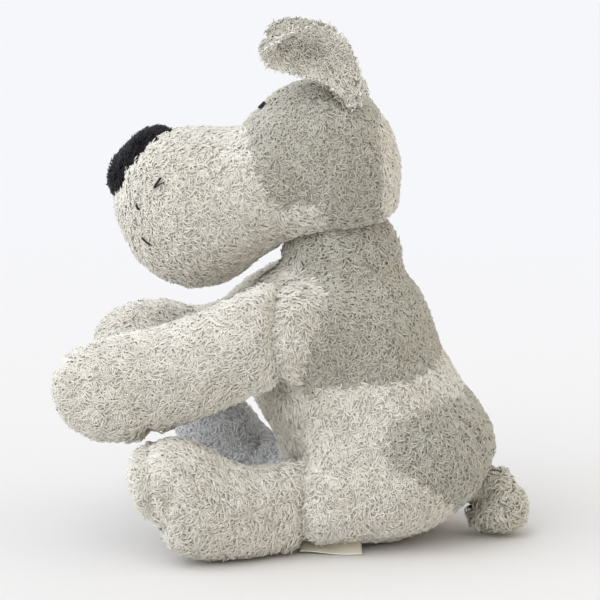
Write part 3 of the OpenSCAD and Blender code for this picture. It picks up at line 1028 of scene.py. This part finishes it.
def raise_nose(mesh, nose):
    """Plumps the skin up under the black cover of the nose."""
    co, n = points_of(mesh), normals_of(mesh)
    far = np.array([nose.find_nearest(c)[3] for c in co])
    share = np.clip((NOSE_REACH - far) / NOSE_EDGE, 0, 1)
    set_points(mesh, co + n * (NOSE_RISE * share)[:, None])


def build_head(skin, body_tree):
    panels = Panels(COVERS["head"])
    nose = Panels(["nose_cover"]).tree
    centres = face_centres(skin.data)
    labels = [panels.at(c) for c in centres]
    for i, c in enumerate(centres):
        if nose.find_nearest(c)[3] < NOSE_REACH:
            labels[i] = "nose_cover"
    distance, on_seam = seam_distance(skin.data, labels)
    puff(skin, on_seam)
    press_in(skin.data, distance, SEAM_DEPTH, SEAM_WIDTH)
    raise_nose(skin.data, nose)

    def beside_stitches(places):
        d = np.linalg.norm(places[:, None] - STITCH_POINTS[None], axis=2).min(1)
        return np.clip(d / CLIPPED_ROUND, 0.35, 1.0)

    def in_neck(places, normals):
        return inside(body_tree, places, normals, BURIED)

    piece = split_off(skin, range(len(labels)), "head_backing")
    colours = ["cream", "grey", "black"]
    for colour in colours:
        piece.data.materials.append(BACKING[colour])
    piece.data.polygons.foreach_set("material_index", [colours.index(COLOUR[n]) for n in labels])
    refine(piece)
    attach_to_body(piece, "head")
    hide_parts("head_stuffing")
    for node in sorted(set(labels)):
        faces = [i for i, n in enumerate(labels) if n == node]
        look = COLOUR[node], FLOW["head"]
        for pile in grow_pile(node + "_pile", skin, faces, *look, in_neck, beside_stitches):
            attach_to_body(pile, "head")
            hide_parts(node)


def node_skin(node, name):
    """Rounded copy of a CAD node."""
    co, faces = welded(node, 0)
    mesh = bpy.data.meshes.new(name)
    mesh.from_pydata(co, [], faces)
    mesh.polygons.foreach_set("use_smooth", [True] * len(faces))
    piece = new_piece(name, mesh)
    refine(piece)
    return piece


# A face of an ear's layer is hidden if the other layer is about this close
EAR_GAP = 0.25 * MM
# The most by which an ear's root is moved down, and how far it goes into the skin of the head
EAR_SEAT = 5.5 * MM
EAR_SUNK = 0.5 * MM


def seat_root(mesh, body, head_tree):
    """Draws the root of an ear down on to the skin of the head, where it is sewn on."""
    root, free = (np.array(end) for end in BLENDS[body])
    co = points_of(mesh)
    along = ((co - root) @ (free - root)) / ((free - root) @ (free - root))
    share = np.clip(1.1 - along, 0, 1) ** 1.3
    for i in np.flatnonzero(share):
        near, normal, _, far = head_tree.find_nearest(co[i])
        co[i] -= np.array(normal) * (share[i] * min(far + EAR_SUNK, EAR_SEAT))
    set_points(mesh, co)


def build_ears(head_tree):
    """Each ear is a grey layer and a cream lining, with pile only on their outer faces."""
    for side in ("left", "right"):
        body = side + "_ear"
        for layer, other, colour in (("outer", "lining", "ear"), ("lining", "outer", "lining")):
            node = f"ear_{side}_{layer}"
            facing_layer = Panels([f"ear_{side}_{other}"]).tree

            def hidden(places, normals):
                starts = places - normals * EAR_GAP
                hits = [facing_layer.ray_cast(p, n, 4 * EAR_GAP) for p, n in zip(starts, normals)]
                return np.array([place is not None for place, _, _, _ in hits])

            def short_at_rim(places):
                far = [facing_layer.find_nearest(p)[3] for p in places]
                return np.interp(far, (0.6 * MM, 2 * MM), (0.75, 1.15))

            piece = node_skin(node, node + "_backing")
            piece.data.materials.append(BACKING[colour])
            piles = grow_pile(node + "_pile", piece, None, colour, EAR_FLOW, hidden, short_at_rim)
            for thing in [piece, *piles]:
                seat_root(thing.data, body, head_tree)
                attach(thing, body)
                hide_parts(node)


# ---------------------------------------------------------------- stitched details
THREAD_R = 0.3 * MM
THREAD_STEPS = 8
THREAD_SIDES = 6
# Strokes of the three marks on each cheek, from the top one down: ends as steps back and up
# along the cheek in millimetres, and how many strands lie side by side
MARKS = (
    (((-1.6, -2.4), (0.9, 2.3), 2), ((-1.5, -2.3), (2.9, 0.6), 1)),
    (((-0.9, 1.2), (0.9, -1.2), 2),),
    (((-2.3, 1.8), (2.4, -1.8), 2),),
)


def loose_parts(node):
    """Centres of the separate solids of a CAD node."""
    co, faces = welded(node, 0)
    owner = list(range(len(co)))

    def root(i):
        while owner[i] != i:
            i = owner[i]
        return i

    for f in faces:
        for i in f[1:]:
            owner[root(i)] = root(f[0])
    groups = {}
    for i, c in enumerate(co):
        groups.setdefault(root(i), []).append(c)
    return [Vector(np.mean(g, 0)) for g in groups.values()]


def strand(start, end, normal, rise):
    """A bowed thread between two points: its vertices and faces."""
    steps, sides = THREAD_STEPS, THREAD_SIDES
    along = (end - start).normalized()
    across = along.cross(normal).normalized()
    co = []
    for k in range(steps + 1):
        t = k / steps
        centre = start.lerp(end, t) + normal * (rise * math.sin(math.pi * t))
        r = THREAD_R * (0.35 + 0.65 * math.sin(math.pi * t) ** 0.4)
        for j in range(sides):
            a = 2 * math.pi * j / sides
            co.append(tuple(centre + across * (r * math.cos(a)) + normal * (r * math.sin(a))))
    faces = []
    for k in range(steps):
        here, above = k * sides, (k + 1) * sides
        for j in range(sides):
            beside = (j + 1) % sides
            faces.append([here + j, here + beside, above + beside, above + j])
    faces += [list(range(sides))[::-1], [steps * sides + j for j in range(sides)]]
    return co, faces


def thread_piece(name, strands):
    co, faces = [], []
    for part_co, part_faces in strands:
        start = len(co)
        co += part_co
        faces += [[start + i for i in f] for f in part_faces]
    mesh = bpy.data.meshes.new(name)
    mesh.from_pydata(co, [], faces)
    mesh.polygons.foreach_set("use_smooth", [True] * len(faces))
    mesh.materials.append(THREAD)
    piece = new_piece(name, mesh)
    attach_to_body(piece, "head")
    return piece


def tangents(tree, centre):
    """The skin nearest to a place, its normal, and the directions back and up along it."""
    near, normal, _, _ = tree.find_nearest(centre)
    up = (Vector((0, 0, 1)) - normal * normal.z).normalized()
    back = up.cross(normal).normalized()
    if back.x < 0:
        back = -back
    return near, normal, back, up


def build_marks(tree):
    """Three short stitched marks on each cheek."""
    strands = []
    for side in (-1, 1):
        centres = [c for c in loose_parts("muzzle_stitches") if c.y * side > 0]
        for centre, strokes in zip(sorted(centres, key=lambda c: -c.z), MARKS):
            near, normal, back, up = tangents(tree, centre)
            raised = near + normal * STITCH_HEIGHT
            for *ends, count in strokes:
                start, end = (raised + back * (a * MM) + up * (b * MM) for a, b in ends)
                beside = (end - start).cross(normal).normalized()
                for k in range(count):
                    shift = beside * ((k - (count - 1) / 2) * 1.5 * THREAD_R)
                    loose = up * random.normal(0, 0.25 * MM)
                    strands.append(strand(start + shift + loose, end + shift, normal, 0.5 * MM))
    piece = thread_piece("cheek_stitches", strands)
    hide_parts("muzzle_stitches")


# Half width of an eye, its half length as a share of the CAD eye's height, how it leans back,
# and its rows of thread
EYE_HALF_WIDE = 1.2 * MM
EYE_LONG = 0.32
EYE_LEAN = 0.45
EYE_ROWS = 9


def build_eye(side, tree):
    """A small leaning oval of satin stitch."""
    node = f"eye_{side}"
    low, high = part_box(node)
    near, normal, back, up = tangents(tree, (low + high) / 2)
    lean = (up + back * EYE_LEAN).normalized()
    across = lean.cross(normal).normalized()
    half_long = (high.z - low.z) * EYE_LONG
    strands = []
    for k in range(EYE_ROWS):
        t = (k + 0.5) / EYE_ROWS * 2 - 1
        middle = near + normal * (STITCH_HEIGHT - 0.2 * MM) + lean * (half_long * t)
        reach = EYE_HALF_WIDE * math.sqrt(1 - t * t) + 0.3 * MM
        slant = lean * (0.35 * MM)
        start, end = middle - across * reach - slant, middle + across * reach + slant
        strands.append(strand(start, end, normal, 0.8 * MM))
    piece = thread_piece(node + "_thread", strands)
    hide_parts(node)


# How far the stitches lie over the backing, which is just inside the ends of the clipped pile,
# and how far round them the pile is clipped
STITCH_HEIGHT = 1.7 * MM
CLIPPED_ROUND = 3.2 * MM
STITCH_POINTS = np.array([
    *loose_parts("muzzle_stitches"),
    *(sum(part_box(f"eye_{side}"), Vector()) / 2 for side in ("left", "right")),
])


# ---------------------------------------------------------------- label
LABEL_T = 0.25 * MM
# How far the label is tucked under the hip, how far it falls from there to the floor, and how
# far its free edge flares and ripples
LABEL_TUCK = 4 * MM
LABEL_FALL = 4.2 * MM
LABEL_FLARE = 1.6 * MM
LABEL_RIPPLE = 0.5 * MM


def build_label():
    """Blank satin tag, sewn into the seam under the left hip: it slopes down to the floor."""
    low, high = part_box("sewn_label")
    wide, deep = 24, 12
    root_y = high.y + LABEL_TUCK
    co, faces = [], []
    for j in range(deep + 1):
        for i in range(wide + 1):
            u, v = i / wide, j / deep
            x = low.x + (high.x - low.x) * u + LABEL_FLARE * v * u
            y = root_y - (root_y - low.y) * v
            ripple = LABEL_RIPPLE * (1 + math.sin(5 * u + 1.2)) * v
            co.append((x, y, FLOOR_GAP + LABEL_T + LABEL_FALL * (1 - v) ** 1.4 + ripple))
    for j in range(deep):
        for i in range(wide):
            a = j * (wide + 1) + i
            faces.append((a, a + wide + 1, a + wide + 2, a + 1))
    mesh = bpy.data.meshes.new("label_satin")
    mesh.from_pydata(co, [], faces)
    mesh.polygons.foreach_set("use_smooth", [True] * len(faces))
    mesh.materials.append(SATIN)
    piece = new_piece("label_satin", mesh)
    thick = piece.modifiers.new("thickness", "SOLIDIFY")
    thick.thickness = LABEL_T
    apply_modifiers(piece)
    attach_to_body(piece, "torso")
    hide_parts("sewn_label")


make_camera()
make_studio()
head = head_skin()
head_tree = tree_of(head)
body = build_body(head_tree)
build_head(head, tree_of(body))
head_tree = tree_of(head)
build_marks(head_tree)
build_eye("left", head_tree)
build_eye("right", head_tree)
build_label()
drop(body)
drop(head)
build_ears(head_tree)
